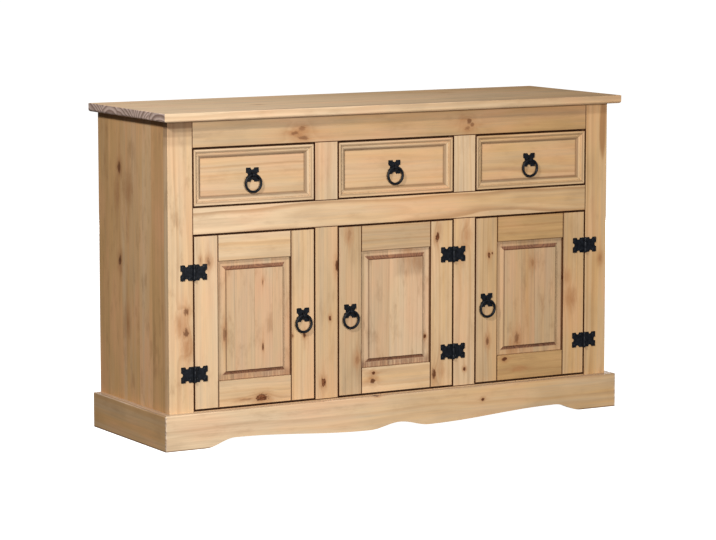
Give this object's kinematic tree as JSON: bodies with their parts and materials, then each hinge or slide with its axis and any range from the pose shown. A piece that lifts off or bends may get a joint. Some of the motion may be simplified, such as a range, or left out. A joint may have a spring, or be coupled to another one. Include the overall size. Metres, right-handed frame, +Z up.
{
  "type": "sideboard",
  "caption": "Waxed pine sideboard: drawers with ring pulls over panelled cupboard doors on black butterfly hinges, on a plinth with a scalloped front.",
  "frame": {"origin": "middle of the footprint on the floor, in the plane the plinth stands on", "axes": "+X along the front from left to right seen from the front, +Y from the front to the back, +Z up"},
  "size_m": [1.32, 0.43, 0.82],
  "materials": {
    "waxed_pine": "honey-coloured waxed pine with knots, satin",
    "bare_pine": "pale unwaxed pine, planed, matte",
    "black_iron": "matte black cast iron with a soft sheen",
    "zinc_steel": "dull zinc-plated steel"
  },
  "bodies": {
    "carcass": {"top_panel": "waxed_pine", "left_side_panel": "waxed_pine", "right_side_panel": "waxed_pine", "left_post": "waxed_pine", "right_post": "waxed_pine", "top_rail": "waxed_pine", "middle_rail": "waxed_pine", "bottom_rail": "waxed_pine", "mullions": "waxed_pine", "plinth_front": "waxed_pine", "plinth_sides": "waxed_pine", "cupboard_floor": "bare_pine", "dust_panel": "bare_pine", "partitions": "bare_pine", "shelves": "bare_pine", "shelf_pins": "zinc_steel", "drawer_runners": "bare_pine", "drawer_kickers": "bare_pine", "back_rails": "bare_pine", "back_boards": "bare_pine", "hinge_frame_leaves": "black_iron", "hinge_pins": "black_iron", "door_catches": "zinc_steel"},
    "left_drawer": {"left_drawer_front": "waxed_pine", "left_drawer_moulding": "waxed_pine", "left_drawer_box": "bare_pine", "left_drawer_bottom": "bare_pine", "left_drawer_plate": "black_iron"},
    "left_drawer_pull": {"left_drawer_ring": "black_iron"},
    "left_door": {"left_door_stiles": "waxed_pine", "left_door_rails": "waxed_pine", "left_door_panel": "waxed_pine", "left_door_leaves": "black_iron", "left_door_plate": "black_iron"},
    "left_door_pull": {"left_door_ring": "black_iron"},
    "middle_drawer": {"middle_drawer_front": "waxed_pine", "middle_drawer_moulding": "waxed_pine", "middle_drawer_box": "bare_pine", "middle_drawer_bottom": "bare_pine", "middle_drawer_plate": "black_iron"},
    "middle_drawer_pull": {"middle_drawer_ring": "black_iron"},
    "middle_door": {"middle_door_stiles": "waxed_pine", "middle_door_rails": "waxed_pine", "middle_door_panel": "waxed_pine", "middle_door_leaves": "black_iron", "middle_door_plate": "black_iron"},
    "middle_door_pull": {"middle_door_ring": "black_iron"},
    "right_drawer": {"right_drawer_front": "waxed_pine", "right_drawer_moulding": "waxed_pine", "right_drawer_box": "bare_pine", "right_drawer_bottom": "bare_pine", "right_drawer_plate": "black_iron"},
    "right_drawer_pull": {"right_drawer_ring": "black_iron"},
    "right_door": {"right_door_stiles": "waxed_pine", "right_door_rails": "waxed_pine", "right_door_panel": "waxed_pine", "right_door_leaves": "black_iron", "right_door_plate": "black_iron"},
    "right_door_pull": {"right_door_ring": "black_iron"}
  },
  "joints": [
    {"name": "left_drawer_slide", "type": "slide", "parent": "carcass", "child": "left_drawer", "axis": [0, -1, 0], "range_m": [0, 0.26]},
    {"name": "left_drawer_ring_swing", "type": "hinge", "parent": "left_drawer", "child": "left_drawer_pull", "pos_m": [-0.4025, -0.1789, 0.66], "axis": [-1, 0, 0], "range_deg": [0, 165]},
    {"name": "left_door_swing", "type": "hinge", "parent": "carcass", "child": "left_door", "pos_m": [-0.57, -0.1875, 0.30625], "axis": [0, 0, -1], "range_deg": [0, 170]},
    {"name": "left_door_ring_swing", "type": "hinge", "parent": "left_door", "child": "left_door_pull", "pos_m": [-0.26875, -0.1899, 0.30625], "axis": [-1, 0, 0], "range_deg": [0, 165]},
    {"name": "middle_drawer_slide", "type": "slide", "parent": "carcass", "child": "middle_drawer", "axis": [0, -1, 0], "range_m": [0, 0.26]},
    {"name": "middle_drawer_ring_swing", "type": "hinge", "parent": "middle_drawer", "child": "middle_drawer_pull", "pos_m": [0, -0.1789, 0.66], "axis": [-1, 0, 0], "range_deg": [0, 165]},
    {"name": "middle_door_swing", "type": "hinge", "parent": "carcass", "child": "middle_door", "pos_m": [0.1675, -0.1875, 0.30625], "axis": [0, 0, 1], "range_deg": [0, 170]},
    {"name": "middle_door_ring_swing", "type": "hinge", "parent": "middle_door", "child": "middle_door_pull", "pos_m": [-0.13375, -0.1899, 0.30625], "axis": [-1, 0, 0], "range_deg": [0, 165]},
    {"name": "right_drawer_slide", "type": "slide", "parent": "carcass", "child": "right_drawer", "axis": [0, -1, 0], "range_m": [0, 0.26]},
    {"name": "right_drawer_ring_swing", "type": "hinge", "parent": "right_drawer", "child": "right_drawer_pull", "pos_m": [0.4025, -0.1789, 0.66], "axis": [-1, 0, 0], "range_deg": [0, 165]},
    {"name": "right_door_swing", "type": "hinge", "parent": "carcass", "child": "right_door", "pos_m": [0.57, -0.1875, 0.30625], "axis": [0, 0, 1], "range_deg": [0, 170]},
    {"name": "right_door_ring_swing", "type": "hinge", "parent": "right_door", "child": "right_door_pull", "pos_m": [0.26875, -0.1899, 0.30625], "axis": [-1, 0, 0], "range_deg": [0, 165]}
  ]
}
